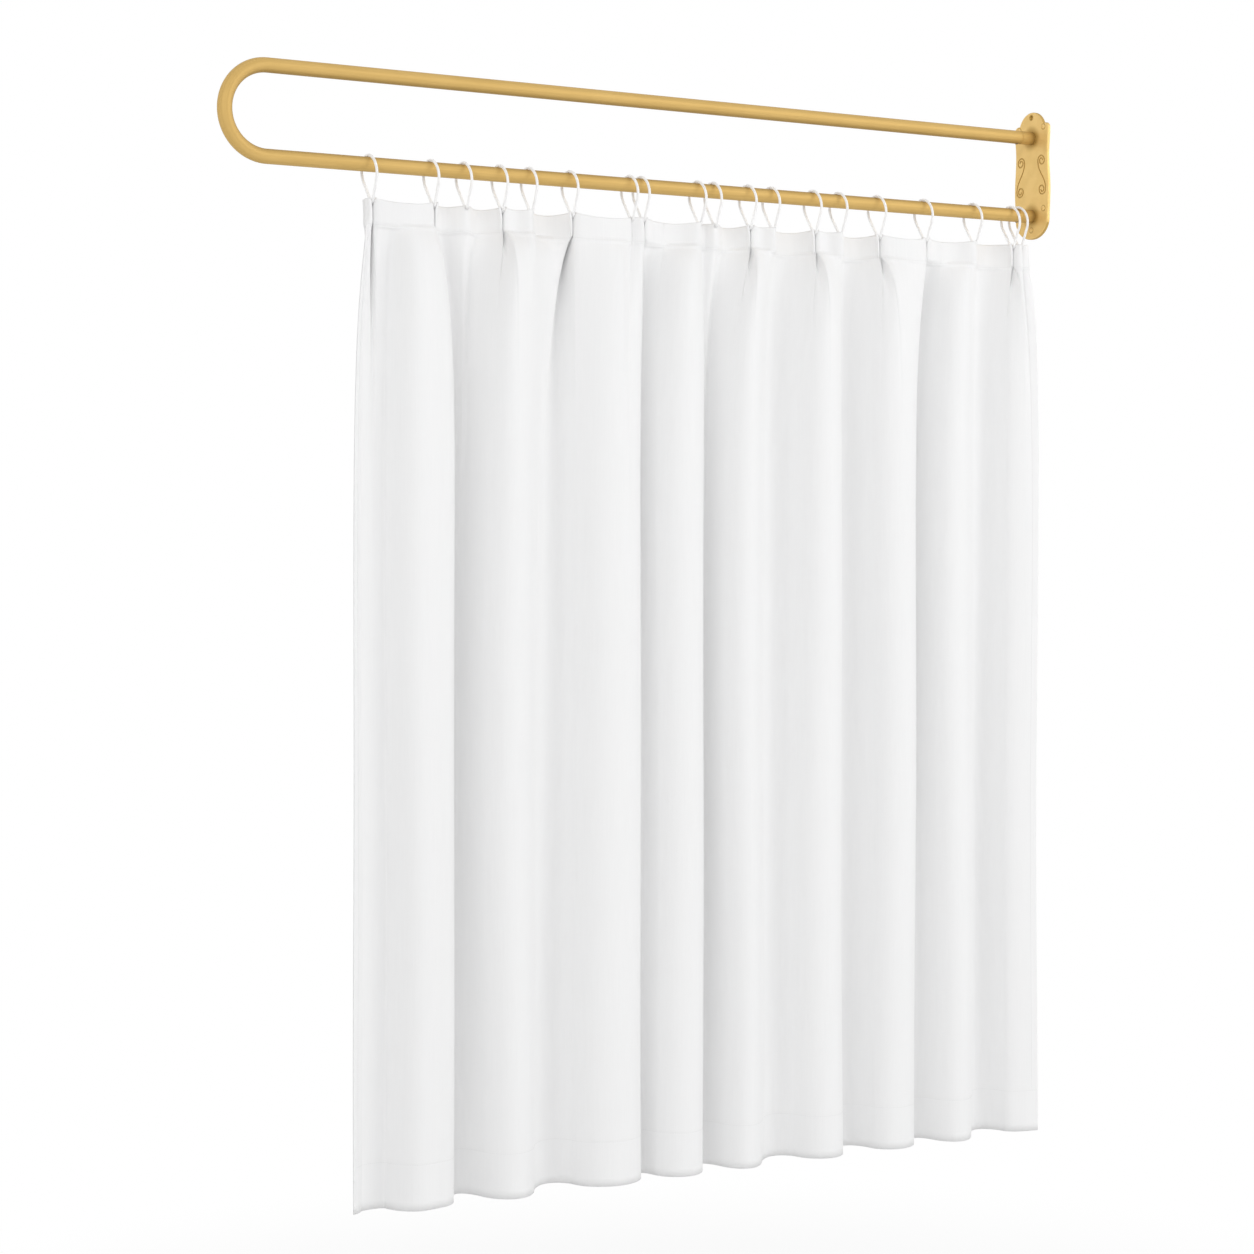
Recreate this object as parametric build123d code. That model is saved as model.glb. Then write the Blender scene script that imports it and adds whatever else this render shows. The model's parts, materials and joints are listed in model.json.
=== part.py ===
import os
from math import atan2, cos, radians, sin, sqrt

from build123d import *

# Driving dimensions in millimetres: the wall is the plane X = 0, the rail runs to -X, Z is up
TUBE_DIAMETER = 25.0
TUBE_WALL = 1.5
LEG_SPACING = 150.0
REACH = 1700.0
GAP = 0.1
PICK = 0.01
DRILL_OVERRUN = 1.0

# Wall plate
PLATE_THICKNESS = 6.0
PLATE_HALF_WIDTH = 50.0
DOME_TOP = 125.0
DOME_RADIUS = 38.0
SHOULDER_TOP = 101.5
SHOULDER_RADIUS = 10.0
WAIST = 47.0
WAIST_LEVEL = 50.0
BELLY = 50.5
BELLY_LEVEL = -28.0
FOOT_HALF_WIDTH = 48.0
FOOT_LEVEL = -80.0
PLATE_BOTTOM = -119.0
NOTCH_ROUNDING = 5.0
EDGE_ROUNDING = 2.0

# Screw holes of the wall plate
HOLE_RADIUS = 2.5
HOLE_SINK_RADIUS = 4.7
CORNER_SPACING_Y = 72.0
CORNER_UPPER = 94.0
CORNER_LOWER = -62.0
CENTRE_UPPER = 115.0
CENTRE_LOWER = -101.0

# Engraved scrolls
GROOVE_WIDTH = 3.0
GROOVE_DEPTH = 1.0
SCROLL_INNER = 20.0
SCROLL_OUTER = 43.0
SCROLL_UPPER = 30.0
SCROLL_LOWER = -25.0
CURL_RADII = (9.5, 7.0, 4.5)
SCROLL_SWEEP = 0.42

# Collars, spigots and their screws
COLLAR_LENGTH = 28.0
COLLAR_CHAMFER = 0.4
SPIGOT_IN_LEG = 60.0
SPIGOT_CHAMFER = 1.5
SPIGOT_SCREW_RADIUS = 4.0
SPIGOT_SCREW_HEAD = 8.0
SPIGOT_SCREW_RECESS = 0.3
SPIGOT_SCREW_LENGTH = 26.0
SPIGOT_SOCKET_RADIUS = 2.9
SPIGOT_SOCKET_DEPTH = 2.5
TAP_RUNOUT = 2.0
GRUB_RADIUS = 3.0
GRUB_LENGTH = 9.0
GRUB_FROM_JOINT = 8.0
GRUB_PROUD = 0.6
GRUB_SOCKET_RADIUS = 1.7
GRUB_SOCKET_DEPTH = 3.0

# Rings: the lead ring is the far one, the others follow at these spaces towards the wall
WIRE_RADIUS = 2.4
RING_TOP_RADIUS = 28.0
RING_FOOT_RADIUS = 5.0
RING_HEIGHT = 78.0
RING_LEAN = 5.4
RING_PLAY = 0.3
LEAD_RING_X = -1420.0
RING_SPACES = (117, 63, 70, 58, 82, 122, 24, 119, 33, 75, 51, 92, 58, 88, 108, 117, 91, 19)

# Curtain
CURTAIN_LEAD_X = -1434.0
CURTAIN_WALL_X = -14.0
CURTAIN_TOP = -131.0
CURTAIN_BOTTOM = -1826.0
HEADER_HEIGHT = 46.0
HEM_HEIGHT = 80.0
CLOTH = 1.2
DOUBLED_CLOTH = 2.4
EYELET_RADIUS = 4.0
EYELET_SLACK = 0.5
EYELET_TURN = 11.0
HEADER_SAG = 0.06

# Folds: crests at the hem from the lead corner to the wall corner, to the front and the back by turns
FOLD_CRESTS = (
    (-1461, -19), (-1412, 13), (-1333, -56), (-1228, 42), (-1159, -52), (-1075, 28), (-969, -48),
    (-865, 34), (-806, -44), (-729, 46), (-670, -42), (-592, 26), (-509, -40), (-406, 46),
    (-331, -38), (-248, 38), (-182, -36), (-98, 46), (-14, -28),
)
HEADER_FOLD_SHARE = 0.03
FOLDS_FULL_BELOW = 190.0

TUBE_RADIUS = TUBE_DIAMETER / 2
BORE_RADIUS = TUBE_RADIUS - TUBE_WALL
UPPER = LEG_SPACING / 2
LOWER = -LEG_SPACING / 2
BEND_X = -(REACH - LEG_SPACING / 2 - TUBE_RADIUS)
PLATE_FACE = -PLATE_THICKNESS
JOINT_X = PLATE_FACE - COLLAR_LENGTH
GRUB_X = JOINT_X - GRUB_FROM_JOINT
RING_TOP = LOWER + TUBE_RADIUS + RING_PLAY + WIRE_RADIUS
RING_FOOT = RING_TOP - RING_HEIGHT * cos(radians(RING_LEAN))
HEADER_BOTTOM = CURTAIN_TOP - HEADER_HEIGHT
HEM_TOP = CURTAIN_BOTTOM + HEM_HEIGHT


# A round bar along X between two places
def bar(radius, x0, x1, z):
    length = abs(x1 - x0)
    return Pos((x0 + x1) / 2, 0, z) * Rot(0, 90, 0) * Cylinder(radius, length)


# A cone along X, from one radius and place to another
def cone(radius0, radius1, x0, x1, y, z):
    turn = 90 if x1 > x0 else -90
    return Pos((x0 + x1) / 2, y, z) * Rot(0, turn, 0) * Cone(radius0, radius1, abs(x1 - x0))


# A round bar standing upright
def post(radius, x, z0, z1):
    return Pos(x, 0, (z0 + z1) / 2) * Cylinder(radius, abs(z1 - z0))


# Half of an S-shaped scroll: three half circles that wind inwards, then the other end turned round
def scroll_lines(side):
    upper = []
    place = SCROLL_INNER
    heading = 1
    for radius in CURL_RADII:
        far = place + heading * 2 * radius
        middle = (place + heading * radius, SCROLL_UPPER + heading * radius)
        upper.append(((place, SCROLL_UPPER), middle, (far, SCROLL_UPPER)))
        place = far
        heading = -heading
    across = SCROLL_INNER + SCROLL_OUTER
    along = SCROLL_UPPER + SCROLL_LOWER
    lower = [tuple((across - y, along - z) for y, z in arc) for arc in upper]
    for arc in upper + lower:
        ThreePointArc(*[(side * y, z) for y, z in arc])
    reach = (SCROLL_UPPER - SCROLL_LOWER) * SCROLL_SWEEP
    Bezier(
        (side * SCROLL_INNER, SCROLL_UPPER),
        (side * SCROLL_INNER, SCROLL_UPPER - reach),
        (side * SCROLL_OUTER, SCROLL_LOWER + reach),
        (side * SCROLL_OUTER, SCROLL_LOWER),
    )


# Wall plate: body with shoulders and a half-oval foot, a round dome over it
def wall_plate():
    with BuildSketch(Plane.YZ) as face:
        with BuildLine():
            corner = PLATE_HALF_WIDTH - SHOULDER_RADIUS
            side_top = SHOULDER_TOP - SHOULDER_RADIUS
            slant = SHOULDER_RADIUS * sqrt(0.5)
            Line((0, SHOULDER_TOP), (corner, SHOULDER_TOP))
            ThreePointArc(
                (corner, SHOULDER_TOP),
                (corner + slant, side_top + slant),
                (PLATE_HALF_WIDTH, side_top),
            )
            Spline(
                (PLATE_HALF_WIDTH, side_top),
                (WAIST, WAIST_LEVEL),
                (BELLY, BELLY_LEVEL),
                (FOOT_HALF_WIDTH, FOOT_LEVEL),
                tangents=((0, -1), (0, -1)),
            )
            EllipticalCenterArc(
                (0, FOOT_LEVEL),
                FOOT_HALF_WIDTH,
                FOOT_LEVEL - PLATE_BOTTOM,
                start_angle=270,
                arc_size=90,
            )
            Line((0, PLATE_BOTTOM), (0, SHOULDER_TOP))
        make_face()
        mirror(about=Plane.YZ)
        dome_middle = DOME_TOP - DOME_RADIUS
        notch = sqrt(DOME_RADIUS**2 - (SHOULDER_TOP - dome_middle) ** 2)
        with Locations((0, dome_middle)):
            Circle(DOME_RADIUS)
        fillet(face.vertices().filter_by(lambda v: abs(abs(v.Y) - notch) < PICK), NOTCH_ROUNDING)
    with BuildSketch(Plane.YZ.offset(PLATE_FACE)) as grooves:
        for side in (-1, 1):
            with BuildLine():
                scroll_lines(side)
            trace(line_width=GROOVE_WIDTH)
    plate = extrude(face.sketch, amount=PLATE_FACE)
    rim = plate.edges().filter_by(lambda e: abs(e.center().X - PLATE_FACE) < PICK)
    plate = fillet(rim, EDGE_ROUNDING)
    plate = plate - extrude(grooves.sketch, amount=GROOVE_DEPTH)
    across = CORNER_SPACING_Y / 2
    places = [(0, CENTRE_UPPER), (0, CENTRE_LOWER)]
    for y in (-across, across):
        places.append((y, CORNER_UPPER))
        places.append((y, CORNER_LOWER))
    sunk = HOLE_SINK_RADIUS - HOLE_RADIUS
    for y, z in places:
        plate = plate - Pos(0, y, 0) * bar(HOLE_RADIUS, DRILL_OVERRUN, PLATE_FACE - DRILL_OVERRUN, z)
        plate = plate - cone(HOLE_SINK_RADIUS, HOLE_RADIUS, PLATE_FACE, PLATE_FACE + sunk, y, z)
    for z in (UPPER, LOWER):
        head = SPIGOT_SCREW_HEAD + SPIGOT_SCREW_RECESS + GAP
        shank = SPIGOT_SCREW_RADIUS + 2 * GAP
        plate = plate - bar(shank, DRILL_OVERRUN, PLATE_FACE - DRILL_OVERRUN, z)
        plate = plate - cone(head, shank, 0, shank - head, 0, z)
    return plate


# Collar: the stub of tube that stands on the plate
def collar(z):
    sleeve = bar(TUBE_RADIUS, PLATE_FACE, JOINT_X, z) - bar(BORE_RADIUS, PLATE_FACE, JOINT_X, z)
    outer = sleeve.edges().filter_by(GeomType.CIRCLE).sort_by(SortBy.RADIUS)[-2:]
    return chamfer(outer.sort_by(Axis.X)[0], COLLAR_CHAMFER)


# Spigot: the bar inside collar and leg, tapped for its screw and drilled for the grub screw
def spigot(z):
    end = JOINT_X - SPIGOT_IN_LEG
    body = bar(BORE_RADIUS - GAP, PLATE_FACE, end, z)
    body = chamfer(body.edges().filter_by(GeomType.CIRCLE).sort_by(Axis.X)[0], SPIGOT_CHAMFER)
    body = body - bar(SPIGOT_SCREW_RADIUS, PLATE_FACE, -SPIGOT_SCREW_LENGTH - TAP_RUNOUT, z)
    seat = z - TUBE_RADIUS - GRUB_PROUD
    return body - post(GRUB_RADIUS + GAP / 2, GRUB_X, seat, seat + GRUB_LENGTH + GAP)


# Spigot screw: countersunk, just under the back face of the plate, with a hexagon socket
def spigot_screw(z):
    back = -SPIGOT_SCREW_RECESS
    shank = SPIGOT_SCREW_RADIUS - GAP
    neck = back - (SPIGOT_SCREW_HEAD - shank)
    screw = cone(SPIGOT_SCREW_HEAD, shank, back, neck, 0, z)
    screw = screw + bar(shank, neck, -SPIGOT_SCREW_LENGTH, z)
    hexagon = Plane.YZ.offset(back) * Pos(0, z) * RegularPolygon(SPIGOT_SOCKET_RADIUS, 6)
    return screw - extrude(hexagon, amount=-SPIGOT_SOCKET_DEPTH)


# Grub screw: stands a little proud under the leg, with a hexagon socket
def grub_screw(z):
    foot = z - TUBE_RADIUS - GRUB_PROUD
    screw = post(GRUB_RADIUS, GRUB_X, foot, foot + GRUB_LENGTH)
    hexagon = Pos(GRUB_X, 0, foot) * RegularPolygon(GRUB_SOCKET_RADIUS, 6)
    return screw - extrude(hexagon, amount=GRUB_SOCKET_DEPTH)


# Rail: one tube, two legs and a half-round bend
def u_rod():
    with BuildLine(Plane.XZ) as path:
        Line((JOINT_X, UPPER), (BEND_X, UPPER))
        ThreePointArc((BEND_X, UPPER), (BEND_X - UPPER, 0), (BEND_X, LOWER))
        Line((BEND_X, LOWER), (JOINT_X, LOWER))
    start = Plane(origin=(JOINT_X, 0, UPPER), x_dir=(0, 1, 0), z_dir=(-1, 0, 0))
    outside = sweep(start * Circle(TUBE_RADIUS), path=path.wire())
    inside = sweep(start * Circle(BORE_RADIUS), path=path.wire())
    rod = outside - inside
    for z in (UPPER, LOWER):
        low = z - TUBE_RADIUS - DRILL_OVERRUN
        high = z - BORE_RADIUS + DRILL_OVERRUN
        rod = rod - post(GRUB_RADIUS + GAP, GRUB_X, low, high)
    return rod


# Ring: pear shape with its small foot at X and its round top over the tube, leaning from the wall
def curtain_ring(x):
    head = -RING_TOP_RADIUS
    foot = RING_FOOT_RADIUS - RING_HEIGHT
    down = (RING_TOP_RADIUS - RING_FOOT_RADIUS) / (head - foot)
    out = sqrt(1 - down * down)
    y1 = RING_TOP_RADIUS * out
    z1 = head - RING_TOP_RADIUS * down
    y2 = RING_FOOT_RADIUS * out
    z2 = foot - RING_FOOT_RADIUS * down
    with BuildLine(Plane.YZ) as path:
        ThreePointArc((y1, z1), (0, 0), (-y1, z1))
        Line((-y1, z1), (-y2, z2))
        ThreePointArc((-y2, z2), (0, -RING_HEIGHT), (y2, z2))
        Line((y2, z2), (y1, z1))
    start = Plane(origin=(0, y1, z1), x_dir=(1, 0, 0), z_dir=(0, down, out))
    upright = sweep(start * Circle(WIRE_RADIUS), path=path.wire())
    top_x = x - RING_HEIGHT * sin(radians(RING_LEAN))
    return Pos(top_x, 0, RING_TOP) * Rot(0, -RING_LEAN, 0) * upright


# Folds seen from above: two arcs from each crest to the next, which meet in the rail's plane
def fold_arcs(crests, offset):
    arcs = []
    for (x0, y0), (x1, y1) in zip(crests, crests[1:]):
        along = x1 - x0
        across = y1 - y0
        way = 1 if across > 0 else -1
        both_radii = (along**2 + across**2) / (2 * abs(across))
        radius0 = both_radii * abs(y0 / across) - way * offset
        radius1 = both_radii - radius0
        half_turn = atan2(abs(across), along)
        out = sin(half_turn)
        rise = way * (1 - cos(half_turn))
        start = (x0, y0 + offset)
        end = (x1, y1 + offset)
        share = radius0 / both_radii
        meet = (x0 + share * along, start[1] + share * across)
        arcs.append((start, (x0 + radius0 * out, start[1] + radius0 * rise), meet))
        arcs.append((meet, (x1 - radius1 * out, end[1] - radius1 * rise), end))
    return arcs


# Section of the folded cloth at a level
def cloth_section(crests, thickness, z):
    back = fold_arcs(crests, thickness / 2)
    front = fold_arcs(crests, -thickness / 2)
    with BuildSketch(Plane.XY.offset(z)) as section:
        with BuildLine():
            for arc in back + front:
                ThreePointArc(*arc)
            Line(back[0][0], front[0][0])
            Line(back[-1][-1], front[-1][-1])
        make_face()
    return section.sketch


# Panel: almost flat under the header band, in full folds a little below, straight down to the hem
def curtain_panel():
    hem_lead = FOLD_CRESTS[0][0]
    hem_wall = FOLD_CRESTS[-1][0]
    narrower = (CURTAIN_WALL_X - CURTAIN_LEAD_X) / (hem_wall - hem_lead)
    header_crests = []
    for x, y in FOLD_CRESTS:
        header_crests.append((CURTAIN_WALL_X + narrower * (x - hem_wall), HEADER_FOLD_SHARE * y))
    full = HEADER_BOTTOM - FOLDS_FULL_BELOW
    top = loft(
        [cloth_section(header_crests, CLOTH, HEADER_BOTTOM), cloth_section(FOLD_CRESTS, CLOTH, full)],
        ruled=True,
    )
    return top + extrude(cloth_section(FOLD_CRESTS, CLOTH, HEM_TOP), amount=full - HEM_TOP)


# Hem band: the cloth doubled along its foot
def hem_band():
    return extrude(cloth_section(FOLD_CRESTS, DOUBLED_CLOTH, CURTAIN_BOTTOM), amount=HEM_HEIGHT)


# Header band: doubled cloth that sags between the rings, with an eyelet for each of them
def header_band(rings):
    eyelet_z = RING_FOOT + WIRE_RADIUS + EYELET_SLACK - EYELET_RADIUS
    eyelets = [Pos(x, eyelet_z) * Rot(0, 0, EYELET_TURN * i) for i, x in enumerate(rings)]
    with BuildSketch(Plane.XZ) as face:
        with BuildLine():
            Line((CURTAIN_LEAD_X, CURTAIN_TOP), (rings[0], CURTAIN_TOP))
            for x0, x1 in zip(rings, rings[1:]):
                low = CURTAIN_TOP - HEADER_SAG * (x1 - x0)
                ThreePointArc((x0, CURTAIN_TOP), ((x0 + x1) / 2, low), (x1, CURTAIN_TOP))
            Polyline(
                (rings[-1], CURTAIN_TOP),
                (CURTAIN_WALL_X, CURTAIN_TOP),
                (CURTAIN_WALL_X, HEADER_BOTTOM),
                (CURTAIN_LEAD_X, HEADER_BOTTOM),
                (CURTAIN_LEAD_X, CURTAIN_TOP),
            )
        make_face()
        with Locations(*eyelets):
            Circle(EYELET_RADIUS, mode=Mode.SUBTRACT)
    return extrude(face.sketch, amount=DOUBLED_CLOTH / 2, both=True)


# Every piece is saved as a part of its own
ring_places = [LEAD_RING_X]
for space in RING_SPACES:
    ring_places.append(ring_places[-1] + space)

pieces = {
    "wall_plate": wall_plate(),
    "upper_collar": collar(UPPER),
    "lower_collar": collar(LOWER),
    "upper_spigot": spigot(UPPER),
    "lower_spigot": spigot(LOWER),
    "spigot_screws": Compound(children=[spigot_screw(UPPER), spigot_screw(LOWER)]),
    "u_rod": u_rod(),
    "grub_screws": Compound(children=[grub_screw(UPPER), grub_screw(LOWER)]),
    "header_band": header_band(ring_places),
    "curtain_panel": curtain_panel(),
    "hem_band": hem_band(),
}
for number, x in enumerate(ring_places, 1):
    pieces[f"curtain_ring_{number:02d}"] = curtain_ring(x)

os.makedirs("parts", exist_ok=True)
for name, piece in pieces.items():
    export_step(piece, f"parts/{name}.step")
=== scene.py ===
"""Looks of a wall-mounted U-shaped curtain rail.

Brushed gold tube and scrolled wall plate, white wire rings and a pleated white curtain, in metres:
the wall is the plane X = 0, the rail runs to -X and Z is up.
"""

import json
import logging
import math
from collections.abc import Callable
from dataclasses import dataclass
from enum import Enum

import bpy
import numpy as np
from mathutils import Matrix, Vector


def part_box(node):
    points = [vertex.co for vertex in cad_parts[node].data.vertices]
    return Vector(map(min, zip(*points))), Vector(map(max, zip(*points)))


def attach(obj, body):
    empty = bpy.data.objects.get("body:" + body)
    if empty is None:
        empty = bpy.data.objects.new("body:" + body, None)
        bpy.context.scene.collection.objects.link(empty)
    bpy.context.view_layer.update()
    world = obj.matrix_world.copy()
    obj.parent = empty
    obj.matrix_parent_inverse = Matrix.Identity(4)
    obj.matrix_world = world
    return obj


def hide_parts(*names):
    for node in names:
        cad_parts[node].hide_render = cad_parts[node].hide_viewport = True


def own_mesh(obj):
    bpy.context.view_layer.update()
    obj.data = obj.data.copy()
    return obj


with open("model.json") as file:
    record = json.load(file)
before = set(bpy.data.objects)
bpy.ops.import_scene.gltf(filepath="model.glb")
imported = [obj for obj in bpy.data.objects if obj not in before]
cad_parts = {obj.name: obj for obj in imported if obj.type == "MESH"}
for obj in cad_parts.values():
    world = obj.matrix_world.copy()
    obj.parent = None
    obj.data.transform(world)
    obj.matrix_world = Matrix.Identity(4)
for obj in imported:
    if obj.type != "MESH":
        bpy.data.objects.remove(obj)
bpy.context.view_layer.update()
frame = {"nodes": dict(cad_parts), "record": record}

LOG = logging.getLogger("curtain_rail")
MM = 0.001
ROOT_BODY = "rail_and_curtain"

Colour = tuple[float, float, float]
Triple = tuple[float, float, float]
Span = tuple[float, float]
Columns = dict[str, np.ndarray]
Socket = bpy.types.NodeSocket


# Numbers and meshes


def smooth_step(values: np.ndarray, low: float, high: float) -> np.ndarray:
    """Rises from 0 at low to 1 at high along a cubic with level ends.

    Args:
        values: Where to take the curve.
        low: The value where it leaves 0.
        high: The value where it reaches 1.

    Returns:
        The curve, in the shape of values.
    """
    share = np.clip((values - low) / (high - low), 0.0, 1.0)
    return share * share * (3.0 - 2.0 * share)


def bell(away: np.ndarray, half: float) -> np.ndarray:
    """The exponential of minus the square of the distance over the half width."""
    return np.exp(-((away / half) ** 2))


def crowded_ends(count: int) -> np.ndarray:
    """A count of steps from 0 to 1 that crowd at both ends, half of one minus a cosine."""
    return 0.5 - 0.5 * np.cos(np.linspace(0.0, math.pi, count + 1))


def full_turn(count: int) -> np.ndarray:
    """The angles of a count of even steps once round."""
    return np.linspace(0.0, 2.0 * math.pi, count, endpoint=False)


def unit(vectors: np.ndarray) -> np.ndarray:
    """The vectors of the last axis, at length one."""
    return vectors / np.linalg.norm(vectors, axis=-1, keepdims=True)


def run_length(line: np.ndarray) -> np.ndarray:
    """The distance along a line of points, from its start to each of them."""
    step = np.linalg.norm(np.diff(line, axis=0), axis=-1)
    return np.concatenate([[0.0], np.cumsum(step)])


def grid_steps(rows: int, cols: int, closed: tuple[bool, bool]) -> tuple[np.ndarray, np.ndarray]:
    """Line numbers and column numbers where a grid's faces start, closed by line and by column."""
    row = np.arange(rows if closed[0] else rows - 1)[:, None]
    return row, np.arange(cols if closed[1] else cols - 1)[None, :]


def grid_faces(rows: int, cols: int, closed: tuple[bool, bool]) -> np.ndarray:
    """Joins neighbouring points of a grid into four-sided faces.

    Args:
        rows: Lines of points.
        cols: Points in a line.
        closed: Whether the last line joins the first, and each line its own start.

    Returns:
        Point numbers, four to a face.
    """
    row, col = grid_steps(rows, cols, closed)
    row_next = (row + 1) % rows
    col_next = (col + 1) % cols
    corners = (
        row * cols + col,
        row * cols + col_next,
        row_next * cols + col_next,
        row_next * cols + col,
    )
    return np.stack(np.broadcast_arrays(*corners), axis=-1).reshape(-1, len(corners))


def mesh_object(
    name: str, points: np.ndarray, faces: np.ndarray, uv: np.ndarray | None = None
) -> bpy.types.Object:
    """Puts points and faces into a smooth-shaded object at the origin.

    Args:
        name: The piece's name.
        points: Places, one to a line.
        faces: Point numbers, one face to a line.
        uv: Map places of each face corner, in metres.

    Returns:
        The new object, linked to the scene.
    """
    mesh = bpy.data.meshes.new(name)
    mesh.vertices.add(len(points))
    mesh.vertices.foreach_set("co", np.asarray(points, np.float32).ravel())
    mesh.loops.add(faces.size)
    mesh.loops.foreach_set("vertex_index", faces.astype(np.int32).ravel())
    mesh.polygons.add(len(faces))
    starts = np.arange(0, faces.size, faces.shape[1], dtype=np.int32)
    mesh.polygons.foreach_set("loop_start", starts)
    mesh.polygons.foreach_set("use_smooth", np.ones(len(faces), bool))
    if uv is not None:
        layer = mesh.uv_layers.new(name="UVMap")
        layer.data.foreach_set("uv", np.asarray(uv, np.float32).ravel())
    mesh.update(calc_edges=True)
    mesh.validate()
    thing = bpy.data.objects.new(name, mesh)
    bpy.context.scene.collection.objects.link(thing)
    return thing


def grid_object(
    name: str,
    points: np.ndarray,
    map_rows: np.ndarray | None = None,
    map_cols: np.ndarray | None = None,
    closed: tuple[bool, bool] = (False, False),
) -> bpy.types.Object:
    """Makes a surface from a grid of points.

    Args:
        name: The piece's name.
        points: Places by line and column.
        map_rows: Map distance of each line, one more than the lines where they close.
        map_cols: Map distance of each column, one more than the columns where they close.
        closed: Whether the last line joins the first, and each line its own start.

    Returns:
        The new object.
    """
    rows, cols = points.shape[:2]
    uv = None
    if map_rows is not None and map_cols is not None:
        row, col = grid_steps(rows, cols, closed)
        across = [map_cols[number] + 0 * row for number in (col, col + 1, col + 1, col)]
        along = [map_rows[number] + 0 * col for number in (row, row, row + 1, row + 1)]
        uv = np.stack([np.stack(across, axis=-1), np.stack(along, axis=-1)], axis=-1)
        uv = uv.reshape(-1, 2)
    return mesh_object(name, points.reshape(-1, 3), grid_faces(rows, cols, closed), uv)


def many_grids(name: str, points: np.ndarray) -> bpy.types.Object:
    """Makes one object of many surfaces whose lines each join their own start.

    Args:
        name: The piece's name.
        points: Places by surface, line and column.

    Returns:
        The new object.
    """
    count, rows, cols = points.shape[:3]
    faces = grid_faces(rows, cols, (False, True))
    numbers = faces[None] + rows * cols * np.arange(count)[:, None, None]
    return mesh_object(name, points.reshape(-1, 3), numbers.reshape(-1, faces.shape[1]))


def many_tubes(
    paths: np.ndarray, across: np.ndarray, radii: np.ndarray | float, sides: int
) -> np.ndarray:
    """Carries a circle along many short paths at once.

    A point is the path's place, plus its radius times the cosine along one cross direction and the
    sine along the other, which is the path's heading turned by the first.

    Args:
        paths: Places by path and step.
        across: A direction across each path's step.
        radii: Radius at each step, in a shape that spreads over paths.
        sides: Points round the circle.

    Returns:
        Places by path, step and side.
    """
    heading = unit(np.gradient(paths, axis=1))
    first = unit(across - np.sum(across * heading, axis=-1, keepdims=True) * heading)
    second = np.cross(heading, first)
    angle = full_turn(sides)[:, None]
    ring = np.cos(angle) * first[:, :, None, :] + np.sin(angle) * second[:, :, None, :]
    radius = np.broadcast_to(radii, paths.shape[:2])[:, :, None, None]
    return paths[:, :, None, :] + radius * ring


# Shader building


MIX_SHARE, MIX_FIRST, MIX_SECOND, MIX_RESULT = 0, 6, 7, 2
NOISE_WIDE = (0.3, 0.7)
NOISE_NARROW = (0.35, 0.65)
BRUSH_STRETCH = (0.02, 1.0, 1.0)


class Graph:
    """A node tree with short words for adding and joining nodes."""

    def __init__(self, tree: bpy.types.NodeTree) -> None:
        """Keeps the tree."""
        self.tree = tree

    def add(self, kind: str, **settings: object) -> bpy.types.Node:
        """Adds a node.

        Args:
            kind: Blender's name of the node type.
            **settings: Values of the node's own fields.

        Returns:
            The node.
        """
        node = self.tree.nodes.new(kind)
        for key, value in settings.items():
            setattr(node, key, value)
        return node

    def join(self, source: object, target: Socket) -> None:
        """Links an output to an input, or sets the input to a plain value."""
        if isinstance(source, Socket):
            self.tree.links.new(source, target)
        else:
            target.default_value = source

    def fill(self, node: bpy.types.Node, *values: object) -> bpy.types.Node:
        """Joins sockets or plain values to a node's inputs, in their order."""
        for value, target in zip(values, node.inputs):
            self.join(value, target)
        return node

    def give(self, node: bpy.types.Node, values: dict[str, object]) -> bpy.types.Node:
        """Joins sockets or plain values to a node's inputs, by name."""
        for label, value in values.items():
            self.join(value, node.inputs[label])
        return node

    def maths(self, operation: str, *values: object) -> Socket:
        """The result of an operation, by Blender's name, on numbers or sockets."""
        return self.fill(self.add("ShaderNodeMath", operation=operation), *values).outputs[0]

    def spread(
        self, value: object, low: float, high: float, new_low: float = 0.0, new_high: float = 1.0
    ) -> Socket:
        """Maps a range of values to another and holds it at the ends.

        Args:
            value: The socket to map.
            low: Start of the old range.
            high: End of the old range.
            new_low: Start of the new range.
            new_high: End of the new range.

        Returns:
            The result's socket.
        """
        node = self.add("ShaderNodeMapRange", interpolation_type="SMOOTHSTEP")
        return self.fill(node, value, low, high, new_low, new_high).outputs[0]

    def blend(self, share: object, first: object, second: object) -> Socket:
        """Mixes two colours.

        Args:
            share: How much of the second.
            first: First colour or socket.
            second: Second colour or socket.

        Returns:
            The mixed colour's socket.
        """
        node = self.add("ShaderNodeMix", data_type="RGBA")
        for given, number in ((share, MIX_SHARE), (first, MIX_FIRST), (second, MIX_SECOND)):
            value = (*given, 1.0) if isinstance(given, tuple) else given
            self.join(value, node.inputs[number])
        return node.outputs[MIX_RESULT]

    def parts(self, vector: object) -> bpy.types.NodeOutputs:
        """The three numbers of a coordinate."""
        return self.fill(self.add("ShaderNodeSeparateXYZ"), vector).outputs

    def mapped(self, vector: object, label: str, values: Triple) -> Socket:
        """A coordinate with a scale or a rotation, by the name of the node's input."""
        node = self.give(self.add("ShaderNodeMapping"), {"Vector": vector, label: values})
        return node.outputs[0]

    def noise(self, vector: object, scale: object, detail: float, roughness: float) -> Socket:
        """Noise from 0 to 1 at a coordinate.

        Args:
            vector: The coordinate's socket.
            scale: Patches to a unit of the coordinate.
            detail: How many finer layers it has.
            roughness: How strong those are.

        Returns:
            The noise's socket.
        """
        values = {"Vector": vector, "Scale": scale, "Detail": detail, "Roughness": roughness}
        return self.give(self.add("ShaderNodeTexNoise"), values).outputs["Fac"]


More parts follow.
